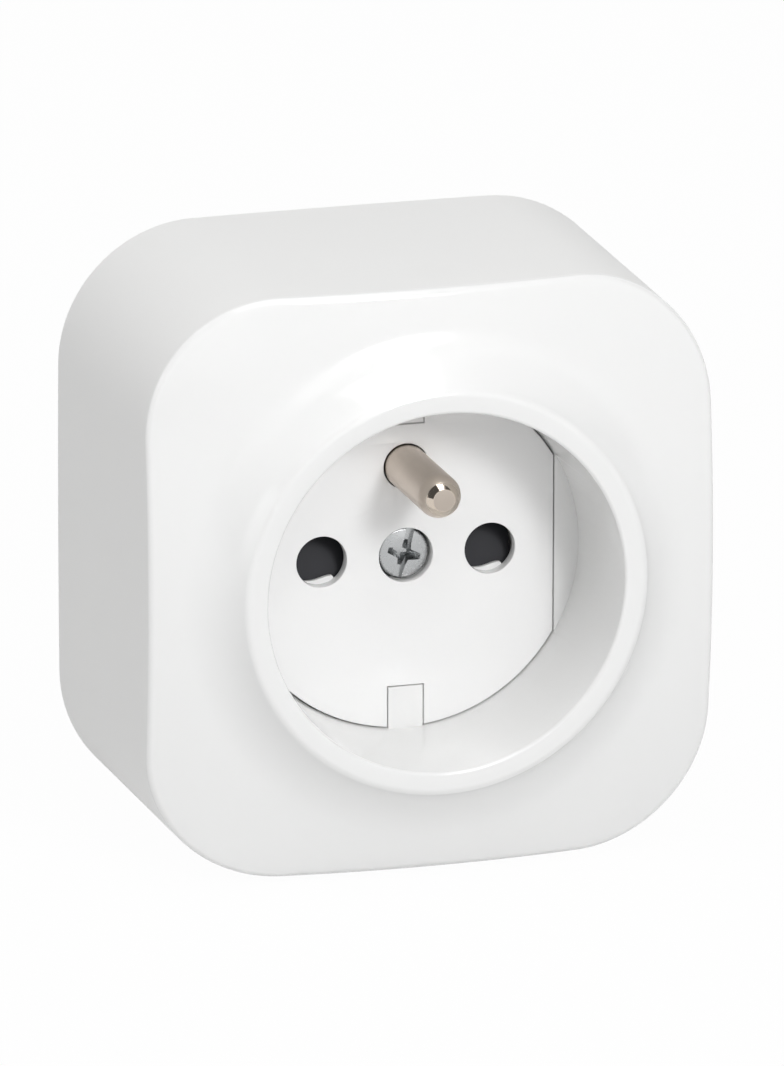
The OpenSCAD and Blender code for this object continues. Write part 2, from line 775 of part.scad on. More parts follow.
on_wall() cover();
on_wall() insert();
on_wall() shutter();
on_wall() shutter_spring();
on_wall() shutter_retainer();
on_wall() base();
on_wall() contact_carrier();
on_wall() line_contact();
on_wall() neutral_contact();
on_wall() line_jaw_clip();
on_wall() neutral_jaw_clip();
on_wall() earth_pin();
on_wall() earth_strap();
on_wall() line_terminal();
on_wall() neutral_terminal();
on_wall() earth_terminal();
on_wall() line_terminal_screw();
on_wall() neutral_terminal_screw();
on_wall() earth_terminal_screw();
on_wall() cover_screw();
on_wall() cover_nut();
on_wall() carrier_screw_left();
on_wall() carrier_screw_right();
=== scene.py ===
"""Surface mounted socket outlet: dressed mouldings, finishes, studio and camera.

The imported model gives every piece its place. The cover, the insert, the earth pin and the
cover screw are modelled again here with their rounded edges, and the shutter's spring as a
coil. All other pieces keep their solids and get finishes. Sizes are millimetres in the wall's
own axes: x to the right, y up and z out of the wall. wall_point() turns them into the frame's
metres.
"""

from __future__ import annotations

import logging
import math
from dataclasses import dataclass, field
from enum import Enum
from typing import Iterable, Sequence

import bmesh
import bpy
from mathutils import Matrix, Vector

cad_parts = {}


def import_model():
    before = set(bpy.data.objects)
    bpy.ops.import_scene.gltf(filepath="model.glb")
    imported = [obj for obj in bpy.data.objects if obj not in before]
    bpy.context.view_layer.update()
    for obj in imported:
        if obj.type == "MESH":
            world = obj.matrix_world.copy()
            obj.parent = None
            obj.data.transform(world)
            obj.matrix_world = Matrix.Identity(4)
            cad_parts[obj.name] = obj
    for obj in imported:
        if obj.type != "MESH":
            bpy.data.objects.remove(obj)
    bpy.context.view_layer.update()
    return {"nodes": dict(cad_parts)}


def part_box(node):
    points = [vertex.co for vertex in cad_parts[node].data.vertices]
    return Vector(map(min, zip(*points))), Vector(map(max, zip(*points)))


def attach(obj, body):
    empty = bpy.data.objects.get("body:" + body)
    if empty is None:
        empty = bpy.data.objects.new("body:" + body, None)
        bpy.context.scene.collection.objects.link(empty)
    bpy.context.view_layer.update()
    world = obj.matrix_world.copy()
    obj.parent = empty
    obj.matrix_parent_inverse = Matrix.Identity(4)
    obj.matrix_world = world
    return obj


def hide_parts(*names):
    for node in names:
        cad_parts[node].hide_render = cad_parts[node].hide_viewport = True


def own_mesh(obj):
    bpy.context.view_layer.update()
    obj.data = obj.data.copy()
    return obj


log = logging.getLogger("socket_outlet")

MM = 0.001
Point2 = tuple[float, float]
Point3 = tuple[float, float, float]
WALL_TO_FRAME = Matrix.Rotation(math.radians(90), 4, "X") @ Matrix.Scale(MM, 4)
# The body that every piece modelled here rides on.
HOUSING = "housing"
WHITE: Point3 = (1.0, 1.0, 1.0)
# Steps of a small rounding in a section, and points round a turned piece.
ROUND_STEPS = 8
ROUND_SIDES = 96
# Steps of a plate's rounded edge.
PLATE_EDGE_STEPS = 2
# Corners nearer than this many metres are one corner.
WELD_DISTANCE = 1e-7
NOISE_MIDDLE = 0.5


def wall_point(x: float, y: float, z: float) -> Vector:
    """Returns the frame's point, in metres, of a point given in the wall's millimetres."""
    return WALL_TO_FRAME @ Vector((x, y, z))


def polar(radius: float, degrees: float) -> Point2:
    """Returns the plane point at a radius and an angle."""
    turn = math.radians(degrees)
    return radius * math.cos(turn), radius * math.sin(turn)


def steps(start: float, end: float, count: int) -> list[float]:
    """Returns count + 1 evenly spaced values from start to end."""
    return [start + (end - start) * i / count for i in range(count + 1)]


def box_outline(x0: float, x1: float, y0: float, y1: float) -> list[Point2]:
    """Returns the outline of a rectangle."""
    return [(x0, y0), (x1, y0), (x1, y1), (x0, y1)]


def circle_outline(radius: float, centre: Point2 = (0.0, 0.0), sides: int = 72) -> list[Point2]:
    """Returns the outline of a circle."""
    points = []
    for i in range(sides):
        x, y = polar(radius, 360.0 * i / sides)
        points.append((centre[0] + x, centre[1] + y))
    return points


def linked(name: str, data: bpy.types.ID) -> bpy.types.Object:
    """Returns a new object that has the data and is in the scene."""
    made = bpy.data.objects.new(name, data)
    bpy.context.scene.collection.objects.link(made)
    return made


class Slot(Enum):
    """Names of the record's material slots for the pieces that are modelled here; no piece is
    given them.
    """

    COVER = "cover_plastic"
    INSERT = "insert_plastic"
    STEEL = "spring_steel"
    NICKEL = "pin_nickel"
    ZINC = "screw_zinc"


class Value:
    """A node socket that takes part in arithmetic; each operation adds one Math node."""

    def __init__(self, sheet: "NodeSheet", socket: bpy.types.NodeSocket) -> None:
        """Wraps a socket.

        Args:
            sheet: The node sheet that holds the socket.
            socket: The output socket.
        """
        self.sheet = sheet
        self.socket = socket

    def _math(self, operation: str, first: object, second: object) -> "Value":
        """Adds a Math node.

        Args:
            operation: The node's operation.
            first: The first operand, a value or a number.
            second: The second operand, a value or a number.

        Returns:
            The node's result.
        """
        return self.sheet.node("ShaderNodeMath", {"operation": operation}, {0: first, 1: second})

    def __add__(self, other: object) -> "Value":
        """Returns self + other."""
        return self._math("ADD", self, other)

    __radd__ = __add__

    def __sub__(self, other: object) -> "Value":
        """Returns self - other."""
        return self._math("SUBTRACT", self, other)

    def __rsub__(self, other: object) -> "Value":
        """Returns other - self."""
        return self._math("SUBTRACT", other, self)

    def __mul__(self, other: object) -> "Value":
        """Returns self * other."""
        return self._math("MULTIPLY", self, other)

    __rmul__ = __mul__

    def clamp(self) -> "Value":
        """Returns the value held between 0 and 1."""
        return self.sheet.node("ShaderNodeClamp", {}, {"Value": self}, "Result")


class NodeSheet:
    """A node tree of a material or a world, filled node by node."""

    def __init__(self, owner: bpy.types.Material | bpy.types.World) -> None:
        """Empties the owner's node tree and keeps it.

        Args:
            owner: The material or world.
        """
        owner.use_nodes = True
        self.tree = owner.node_tree
        self.tree.nodes.clear()

    def node(self, kind: str, settings: dict[str, object], inputs: dict[object, object],
             output: int | str = 0) -> Value:
        """Adds a node.

        Args:
            kind: The node's type.
            settings: Properties of the node, set before its sockets. "stops" sets a ramp.
            inputs: Values or links by socket name or number.
            output: The output socket to return.

        Returns:
            The chosen output.
        """
        made = self.tree.nodes.new(kind)
        for name, setting in settings.items():
            if name == "stops":
                self._set_stops(made.color_ramp, setting)
            else:
                setattr(made, name, setting)
        for name, given in inputs.items():
            if isinstance(given, Value):
                self.tree.links.new(given.socket, made.inputs[name])
            else:
                made.inputs[name].default_value = given
        outputs = made.outputs
        return Value(self, outputs[output]) if len(outputs) else Value(self, None)

    @staticmethod
    def _set_stops(ramp: bpy.types.ColorRamp, stops: Sequence[tuple[float, float]]) -> None:
        """Gives a ramp grey stops.

        Args:
            ramp: The ramp.
            stops: Position and grey level of each stop.
        """
        while len(ramp.elements) < len(stops):
            ramp.elements.new(0.5)
        for element, (place, grey) in zip(ramp.elements, stops):
            element.position = place
            element.color = (grey, grey, grey, 1.0)

    def noise(self, scale: float, detail: float, roughness: float = 0.5,
              stretch: Point3 = (1.0, 1.0, 1.0)) -> Value:
        """Adds noise in the frame's own coordinates.

        Args:
            scale: Cycles of the noise in each metre.
            detail: Octaves.
            roughness: Strength of the finer octaves.
            stretch: Factor on the scale along each axis.

        Returns:
            The noise's factor.
        """
        place = self.node("ShaderNodeTexCoord", {}, {}, "Object")
        place = self.node("ShaderNodeMapping", {}, {"Vector": place, "Scale": stretch})
        return self.node("ShaderNodeTexNoise", {},
                         {"Vector": place, "Scale": scale, "Detail": detail,
                          "Roughness": roughness})

    def bump(self, height: Value, depth: float, strength: float = 1.0,
             under: Value | None = None) -> Value:
        """Adds a bump.

        Args:
            height: Height from 0 to 1.
            depth: Depth of the relief in millimetres.
            strength: Strength of the bump.
            under: A bump that this one lies on.

        Returns:
            The bent normal.
        """
        inputs = {"Height": height, "Distance": depth * MM, "Strength": strength}
        if under is not None:
            inputs["Normal"] = under
        return self.node("ShaderNodeBump", {}, inputs)

    def mix_colour(self, factor: object, first: object, second: object) -> Value:
        """Returns the mix of two colours."""
        return self.node("ShaderNodeMix", {"data_type": "RGBA"},
                         {0: factor, 6: first, 7: second}, 2)

    def surface(self, inputs: dict[str, object]) -> None:
        """Adds the surface shader and the output.

        Args:
            inputs: Values or links of the surface shader's sockets.
        """
        shader = self.node("ShaderNodeBsdfPrincipled", {}, inputs)
        self.node("ShaderNodeOutputMaterial", {}, {"Surface": shader})


def rgba(colour: Point3, factor: float = 1.0) -> tuple[float, float, float, float]:
    """Returns a colour with alpha 1, each channel times a factor."""
    return colour[0] * factor, colour[1] * factor, colour[2] * factor, 1.0


@dataclass(frozen=True)
class Plastic:
    """Injection moulded plastic.

    The skin has a faint uneven flow and fine dust specks in its gloss. A textured tool gives
    it a fine grain, a polished one only a slow waviness. Depths are millimetres, scales are
    cycles in a metre, and shade is the range of the colour's brightness. The flow spreads the
    roughness by roughness_spread, and the dust by dust_share of that.
    """

    name: str
    colour: Point3
    roughness: float
    grain_depth: float = 0.0
    grain_scale: float = 4200.0
    wave_depth: float = 0.02
    wave_scale: float = 170.0
    flow_scale: float = 55.0
    dust_scale: float = 900.0
    shade: Point2 = (0.985, 1.01)
    roughness_spread: float = 0.04
    dust_share: float = 0.5
    index: float = 1.5

    def material(self) -> bpy.types.Material:
        """Returns the finished material."""
        made = bpy.data.materials.new(self.name)
        sheet = NodeSheet(made)
        flow = sheet.noise(self.flow_scale, detail=3.0)
        dust = sheet.noise(self.dust_scale, detail=3.0, roughness=0.6)
        darker, lighter = (rgba(self.colour, factor) for factor in self.shade)
        colour = sheet.mix_colour(flow, darker, lighter)
        gloss = self.roughness + self.roughness_spread * (flow - NOISE_MIDDLE)
        gloss = gloss + self.dust_share * self.roughness_spread * (dust - NOISE_MIDDLE)
        wave = sheet.noise(self.wave_scale, detail=1.0)
        normal = sheet.bump(wave, self.wave_depth, strength=0.5)
        if self.grain_depth:
            grain = sheet.noise(self.grain_scale, detail=4.0, roughness=0.65)
            normal = sheet.bump(grain, self.grain_depth, under=normal)
        sheet.surface({"Base Color": colour, "Roughness": gloss, "IOR": self.index,
                       "Normal": normal})
        return made


@dataclass(frozen=True)
class Metal:
    """Plated or bright metal with fine scratches or turning lines.

    The colour's brightness varies by the stain's share. Between the lines the roughness is
    gloss_low times its value, and on them it rises by gloss_rise times its value.
    """

    name: str
    colour: Point3
    roughness: float
    line_depth: float = 0.002
    line_scale: float = 2500.0
    line_stretch: Point3 = (1.0, 1.0, 1.0)
    stain: float = 0.06
    stain_scale: float = 400.0
    gloss_low: float = 0.75
    gloss_rise: float = 0.5

    def material(self) -> bpy.types.Material:
        """Returns the finished material."""
        made = bpy.data.materials.new(self.name)
        sheet = NodeSheet(made)
        lines = sheet.noise(self.line_scale, detail=3.0, roughness=0.6,
                            stretch=self.line_stretch)
        stains = sheet.noise(self.stain_scale, detail=3.0)
        colour = sheet.mix_colour(stains, rgba(self.colour, 1 - self.stain),
                                  rgba(self.colour, 1 + self.stain))
        gloss = self.roughness * (self.gloss_low + self.gloss_rise * lines)
        normal = sheet.bump(lines, self.line_depth)
        sheet.surface({"Base Color": colour, "Metallic": 1.0, "Roughness": gloss,
                       "Normal": normal})
        return made


class Finish(Enum):
    """The finishes of the socket."""

    GLOSSY_WHITE = Plastic("glossy_white", (0.87, 0.872, 0.868), 0.13)
    TEXTURED_WHITE = Plastic("textured_white", (0.86, 0.86, 0.852), 0.5, 0.012)
    INSERT_WHITE = Plastic("insert_white", (0.93, 0.93, 0.93), 0.2)
    SHUTTER_BLACK = Plastic("shutter_black", (0.021, 0.0212, 0.026), 0.6, 0.006, index=1.38)
    BASE_WHITE = Plastic("base_white", (0.72, 0.72, 0.69), 0.45, 0.01)
    BRASS = Metal("bright_brass", (0.78, 0.6, 0.3), 0.28)
    STEEL = Metal("spring_steel", (0.58, 0.58, 0.59), 0.3)
    NICKEL = Metal("nickel_plate", (0.65, 0.572, 0.5), 0.38, 0.003, 1400.0, (6.0, 0.4, 6.0))
    BRIGHT_NICKEL = Metal("bright_nickel", (0.64, 0.56, 0.48), 0.09, 0.001)
    WORN_NICKEL = Metal("worn_nickel", (0.5, 0.44, 0.385), 0.3, 0.004, 1500.0)
    ZINC = Metal("zinc_plate", (0.47, 0.48, 0.485), 0.28, 0.006, 1800.0)

    def dress(self, piece: bpy.types.Object) -> None:
        """Gives a piece this finish all over."""
        piece.data.materials.clear()
        add_finishes(piece, self)


_MADE: dict[Finish, bpy.types.Material] = {}


def finish_material(finish: Finish) -> bpy.types.Material:
    """Returns the one material of a finish."""
    if finish not in _MADE:
        _MADE[finish] = finish.value.material()
    return _MADE[finish]


def add_finishes(piece: bpy.types.Object, *finishes: Finish) -> None:
    """Adds finishes to a piece, in the order of its faces' material numbers."""
    for finish in finishes:
        piece.data.materials.append(finish_material(finish))


class Builder:
    """Mesh pieces in the wall's millimetres, turned into the frame when they are made."""

    @staticmethod
    def piece(name: str, points: Iterable[Point3], faces: Iterable[Sequence[int]],
              tags: Sequence[int] = ()) -> bpy.types.Object:
        """Makes a mesh piece.

        Args:
            name: The piece's name.
            points: Corners in the wall's millimetres.
            faces: Corner numbers of each face.
            tags: Material number of each face.

        Returns:
            The piece.
        """
        mesh = bpy.data.meshes.new(name)
        mesh.from_pydata([tuple(wall_point(*p)) for p in points], [], [tuple(f) for f in faces])
        for face, tag in zip(mesh.polygons, tags):
            face.material_index = tag
        made = linked(name, mesh)
        Builder.tidy(made)
        return made

    @staticmethod
    def tidy(piece: bpy.types.Object, sharp: float = 32.0) -> None:
        """Points the faces outward and shades them smooth between sharp edges.

        Args:
            piece: The piece.
            sharp: Smallest angle of an edge that stays sharp, in degrees.
        """
        shape = bmesh.new()
        shape.from_mesh(piece.data)
        bmesh.ops.remove_doubles(shape, verts=shape.verts, dist=WELD_DISTANCE)
        bmesh.ops.recalc_face_normals(shape, faces=shape.faces)
        shape.to_mesh(piece.data)
        shape.free()
        piece.data.shade_smooth()
        piece.data.set_sharp_from_angle(angle=math.radians(sharp))

    @staticmethod
    def rings(name: str, rings: Sequence[Sequence[Point3]], joined: bool = False,
              tags: Sequence[int] = ()) -> bpy.types.Object:
        """Makes a piece from closed rings, one after the other.

        Args:
            name: The piece's name.
            rings: The rings, each with the same number of points.
            joined: Whether the last ring joins the first; otherwise both ends are capped.
            tags: Material number of the band after each ring.

        Returns:
            The piece.
        """
        count = len(rings[0])
        points = [point for ring in rings for point in ring]
        faces, marks = [], []
        bands = len(rings) if joined else len(rings) - 1
        for j in range(bands):
            low, high = j * count, (j + 1) % len(rings) * count
            for i in range(count):
                k = (i + 1) % count
                faces.append((low + i, high + i, high + k, low + k))
                marks.append(tags[j] if tags else 0)
        if not joined:
            last = (len(rings) - 1) * count
            faces.append(tuple(range(count)))
            faces.append(tuple(last + i for i in reversed(range(count))))
            marks += [0, 0]
        return Builder.piece(name, points, faces, marks)

    @staticmethod
    def lathe(name: str, section: Sequence[Point2], centre: Point2 = (0.0, 0.0),
              tags: Sequence[int] = ()) -> bpy.types.Object:
        """Turns a section round an axis that stands out of the wall.

        Args:
            name: The piece's name.
            section: Radius and height of each ring; the two ends are capped.
            centre: Place of the axis.
            tags: Material number of the band after each ring.

        Returns:
            The piece.
        """
        rings = []
        for radius, z in section:
            rings.append([(x, y, z) for x, y in circle_outline(radius, centre, ROUND_SIDES)])
        return Builder.rings(name, rings, tags=tags)

    @staticmethod
    def plate(name: str, outlines: Sequence[Sequence[Point2]], low: float, high: float,
              edge: float = 0.0) -> bpy.types.Object:
        """Makes a flat plate with rounded edges; outlines inside others are holes.

        Args:
            name: The piece's name.
            outlines: Closed outlines in the plane of the wall.
            low: Height of the rear face.
            high: Height of the front face.
            edge: Radius of the rounded edges.

        Returns:
            The piece.
        """
        curve = bpy.data.curves.new(name, "CURVE")
        curve.dimensions = "2D"
        curve.fill_mode = "BOTH"
        curve.extrude = (high - low) / 2 - edge
        curve.bevel_depth = edge
        curve.bevel_resolution = PLATE_EDGE_STEPS
        curve.offset = -edge
        for outline in outlines:
            spline = curve.splines.new("POLY")
            spline.points.add(len(outline) - 1)
            for point, (x, y) in zip(spline.points, outline):
                point.co = (x, y, 0.0, 1.0)
            spline.use_cyclic_u = True
        shaped = linked(name + "_curve", curve)
        graph = bpy.context.evaluated_depsgraph_get()
        mesh = bpy.data.meshes.new_from_object(shaped.evaluated_get(graph))
        bpy.data.objects.remove(shaped)
        mesh.transform(Matrix.Translation((0.0, 0.0, (low + high) / 2)))
        mesh.transform(WALL_TO_FRAME)
        made = linked(name, mesh)
        Builder.tidy(made)
        return made

    @staticmethod
    def combine(piece: bpy.types.Object, tool: bpy.types.Object, operation: str) -> None:
        """Joins a tool to a piece or cuts it away, and removes the tool.

        Args:
            piece: The piece that stays.
            tool: The piece that is used up.
            operation: UNION or DIFFERENCE.
        """
        cut = piece.modifiers.new(operation.lower(), "BOOLEAN")
        cut.operation = operation
        cut.solver = "EXACT"
        cut.object = tool
        graph = bpy.context.evaluated_depsgraph_get()
        mesh = bpy.data.meshes.new_from_object(piece.evaluated_get(graph))
        piece.modifiers.clear()
        piece.data = mesh
        bpy.data.objects.remove(tool)

    @staticmethod
    def join(name: str, parts: Sequence[bpy.types.Object]) -> bpy.types.Object:
        """Puts the meshes of several parts of one moulding in one piece.

        Args:
            name: The piece's name.
            parts: The parts, which are used up.

        Returns:
            The piece.
        """
        whole = bmesh.new()
        for part in parts:
            whole.from_mesh(part.data)
            bpy.data.objects.remove(part)
        mesh = bpy.data.meshes.new(name)
        whole.to_mesh(mesh)
        whole.free()
        made = linked(name, mesh)
        Builder.tidy(made)
        return made


def settle(piece: bpy.types.Object, node: str) -> None:
    """Puts a piece on the housing and hides what it stands for.

    Args:
        piece: The piece.
        node: The solid that it replaces.
    """
    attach(piece, HOUSING)
    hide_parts(node)
    log.info("%s: %d faces", piece.name, len(piece.data.polygons))


@dataclass
class Cover:
    """The cover: a bowed rounded square with a domed front, a rim and a deep well."""

    width: float = 64.2
    height: float = 65.4
    corner: float = 15.0
    bow: float = 0.25
    draft: float = 0.3
    side_z: float = 34.7
    dome_fall: float = 0.0037
    edge: float = 0.9
    wall: float = 2.0
    rim_z: float = 40.1
    mouth: float = 20.0
    taper: float = 0.5
    mouth_edge: float = 0.4
    crown: float = 1.4
    crown_edge: float = 1.0
    flank_width: float = 6.7
    tube_wall: float = 1.8
    tube_end: float = 2.0
    ledge: float = 2.2
    ledge_width: float = 2.7
    ledge_edge: float = 0.1
    seat_z: float = 23.3
    face_z: float = 24.7
    gap: float = 0.14
    flat_depth: float = 2.7
    key_width: float = 3.9
    key_length: float = 4.7
    floor_edge: float = 0.06
    floor_overlap: float = 0.5
    segment_root: float = 0.3
    key_root: float = 0.4
    knockout_width: float = 15.0
    knockout_depth: float = 1.1
    knockout_start: float = -1.0
    knockout_z: float = 11.0
    corner_steps: int = 24
    side_steps: int = 16
    flank_steps: int = 28
    dome_steps: int = 16
    inside_steps: int = 5
    segment_steps: int = 40
    textured_bands: int = 2

    @property
    def well(self) -> float:
        """Radius of the well at its floor."""
        return self.mouth - self.taper

    @property
    def insert_radius(self) -> float:
        """Radius of the insert that lies in the well."""
        return self.well - self.gap

    def dome(self, radius: float) -> float:
        """Returns the height of the domed front at a radius."""
        return self.side_z + self.dome_fall * ((self.width / 2) ** 2 - radius ** 2)

    def lean(self, radius: float) -> float:
        """Returns the slope of the domed front at a radius, in radians."""
        return math.atan(2 * self.dome_fall * radius)

    def outline(self, inset: float) -> list[Point2]:
        """Returns the cover's plan, moved in by an inset.

        Args:
            inset: Distance from the outer outline.

        Returns:
            The outline's points, anticlockwise.
        """
        half_w = self.width / 2 - self.bow - inset
        half_h = self.height / 2 - self.bow - inset
        radius = self.corner - inset
        corners = []
        for quarter, (sx, sy) in enumerate(((1, 1), (-1, 1), (-1, -1), (1, -1))):
            centre = (sx * (half_w - radius), sy * (half_h - radius))
            arc = [polar(radius, a) for a in steps(90.0 * quarter, 90.0 * quarter + 90.0,
                                                   self.corner_steps)]
            corners.append([(centre[0] + x, centre[1] + y) for x, y in arc])
        plain = []
        for i, arc in enumerate(corners):
            following = corners[(i + 1) % 4][0]
            plain += arc
            for share in steps(0.0, 1.0, self.side_steps)[1:-1]:
                plain.append((arc[-1][0] + (following[0] - arc[-1][0]) * share,
                              arc[-1][1] + (following[1] - arc[-1][1]) * share))
        bowed = []
        for x, y in plain:
            bowed.append((x * (1 + self.bow / half_w * (1 - (y / half_h) ** 2)),
                          y * (1 + self.bow / half_h * (1 - (x / half_w) ** 2))))
        return bowed

    def flank(self) -> list[Point2]:
        """Works out the hollow flank, tangent to the dome and to the crown's edge.

        Returns:
            Section points of the flank and of the crown's edge.
        """
        crown_r = self.mouth + self.mouth_edge + self.crown
        foot = Vector((crown_r + self.flank_width, self.dome(crown_r + self.flank_width)))
        start = self.lean(foot.x)
        out = Vector((math.sin(start), math.cos(start)))
        centre = Vector((crown_r, self.rim_z - self.crown_edge))
        span = foot - centre
        radius = (span.length_squared - self.crown_edge ** 2) / (
            2 * (self.crown_edge - span.dot(out)))
        hub = foot + radius * out
        top = math.atan2(hub.x - crown_r, hub.y - centre.y)
        points = []
        for a in steps(start, top, self.flank_steps):
            points.append((hub.x - radius * math.sin(a), hub.y - radius * math.cos(a)))
        for a in steps(top, 0.0, ROUND_STEPS)[1:]:
            points.append((centre.x + self.crown_edge * math.sin(a),
                           centre.y + self.crown_edge * math.cos(a)))
        return points

    def outer_section(self, reach: float, flank: Sequence[Point2]) -> list[Point2]:
        """Returns the outside from the wall to the crown, for a side at a reach.

        Args:
            reach: Distance of the side from the centre at the wall.
            flank: Section points of the flank and the crown.

        Returns:
            Radius and height of each ring.
        """
        side = reach - self.draft
        lean = self.lean(side)
        centre_r = side - self.edge
        centre_z = self.dome(centre_r + self.edge * math.sin(lean)) - self.edge * math.cos(lean)
        points = [(reach, 0.0)]
        for a in steps(0.0, math.pi / 2 - lean, ROUND_STEPS):
            points.append((centre_r + self.edge * math.cos(a),
                           centre_z + self.edge * math.sin(a)))
        end = points[-1][0]
        for radius in steps(end, flank[0][0], self.dome_steps)[1:-1]:
            points.append((radius, self.dome(radius)))
        return points + list(flank)

    def inner_section(self) -> list[Point2]:
        """Returns the well, its ledge and the outside of its tube, from the mouth inward."""
        points = []
        for a in steps(math.pi / 2, 0.0, ROUND_STEPS):
            points.append((self.mouth + self.mouth_edge * (1 - math.cos(a)),
                           self.rim_z - self.mouth_edge * (1 - math.sin(a))))
        ledge_r = self.well - self.ledge_width
        ledge_z = self.seat_z - self.ledge
        tube_r = self.well + self.tube_wall
        points += [
            (self.well, self.seat_z + self.ledge_edge),
            (self.well - self.ledge_edge, self.seat_z),
            (ledge_r, self.seat_z),
            (ledge_r, ledge_z),
            (tube_r, ledge_z),
            (tube_r, self.rim_z - self.wall - self.tube_end),
        ]
        return points

    def shell(self) -> bpy.types.Object:
        """Makes the shell as one closed loop of rings."""
        flank = self.flank()
        outer, inner = self.outline(0.0), self.outline(self.wall)
        well = self.inner_section()
        sections = [self.outer_section(math.hypot(*p), flank) for p in outer]
        outer_count = len(sections[0])
        rings = []
        for j in range(outer_count):
            ring = []
            for (x, y), section in zip(outer, sections):
                reach = math.hypot(x, y)
                ring.append((x / reach * section[j][0], y / reach * section[j][0],
                             section[j][1]))
            rings.append(ring)
        for radius, z in well:
            rings.append([(x / math.hypot(x, y) * radius, y / math.hypot(x, y) * radius, z)
                          for x, y in outer])
        tube = well[-1][0]
        for share in steps(0.0, 1.0, self.inside_steps)[1:]:
            ring = []
            for (x, y), (ix, iy) in zip(outer, inner):
                turn = math.hypot(x, y)
                px = x / turn * tube + (ix - x / turn * tube) * share
                py = y / turn * tube + (iy - y / turn * tube) * share
                ring.append((px, py, self.dome(math.hypot(px, py)) - self.wall))
            rings.append(ring)
        rings.append([(ix, iy, 0.0) for ix, iy in inner])
        inside = outer_count + len(well)
        tags = [1 if self.textured_bands <= j < inside else 0 for j in range(len(rings))]
        return Builder.rings("cover_moulding", rings, True, tags)

    def segment(self, side: int) -> bpy.types.Object:
        """Makes the floor segment beyond one of the insert's flats."""
        flat = self.insert_radius - self.flat_depth + self.gap
        reach = self.well + self.floor_overlap
        turn = math.degrees(math.acos(flat / reach))
        arc = [polar(reach, a) for a in steps(-turn, turn, self.segment_steps)]
        outline = [(side * x, y) for x, y in arc]
        return Builder.plate("segment", [outline], self.seat_z - self.segment_root, self.face_z,
                             self.floor_edge)

    def key(self, side: int) -> bpy.types.Object:
        """Makes the key at the top or at the bottom of the insert."""
        tip = self.insert_radius - self.key_length + self.gap
        half = self.key_width / 2
        low, high = sorted((side * tip, side * (self.well + self.floor_overlap)))
        outline = box_outline(-half, half, low, high)
        return Builder.plate("key", [outline], self.seat_z - self.key_root, self.face_z,
                             self.floor_edge)

    def knockout(self, side: int) -> bpy.types.Object:
        """Makes the cutter that thins a wall for a surface cable."""
        y = side * (self.height / 2 - self.wall)
        half = self.knockout_width / 2
        outline = box_outline(-half, half, y - self.knockout_depth, y + self.knockout_depth)
        return Builder.plate("knockout", [outline], self.knockout_start, self.knockout_z)

    def build(self) -> None:
        """Builds and dresses the cover."""
        shell = self.shell()
        add_finishes(shell, Finish.TEXTURED_WHITE, Finish.GLOSSY_WHITE)
        for side in (-1, 1):
            for part in (self.segment(side), self.key(side)):
                add_finishes(part, Finish.GLOSSY_WHITE)
                Builder.combine(shell, part, "UNION")
            cutter = self.knockout(side)
            add_finishes(cutter, Finish.TEXTURED_WHITE)
            Builder.combine(shell, cutter, "DIFFERENCE")
        Builder.tidy(shell)
        settle(shell, "cover")


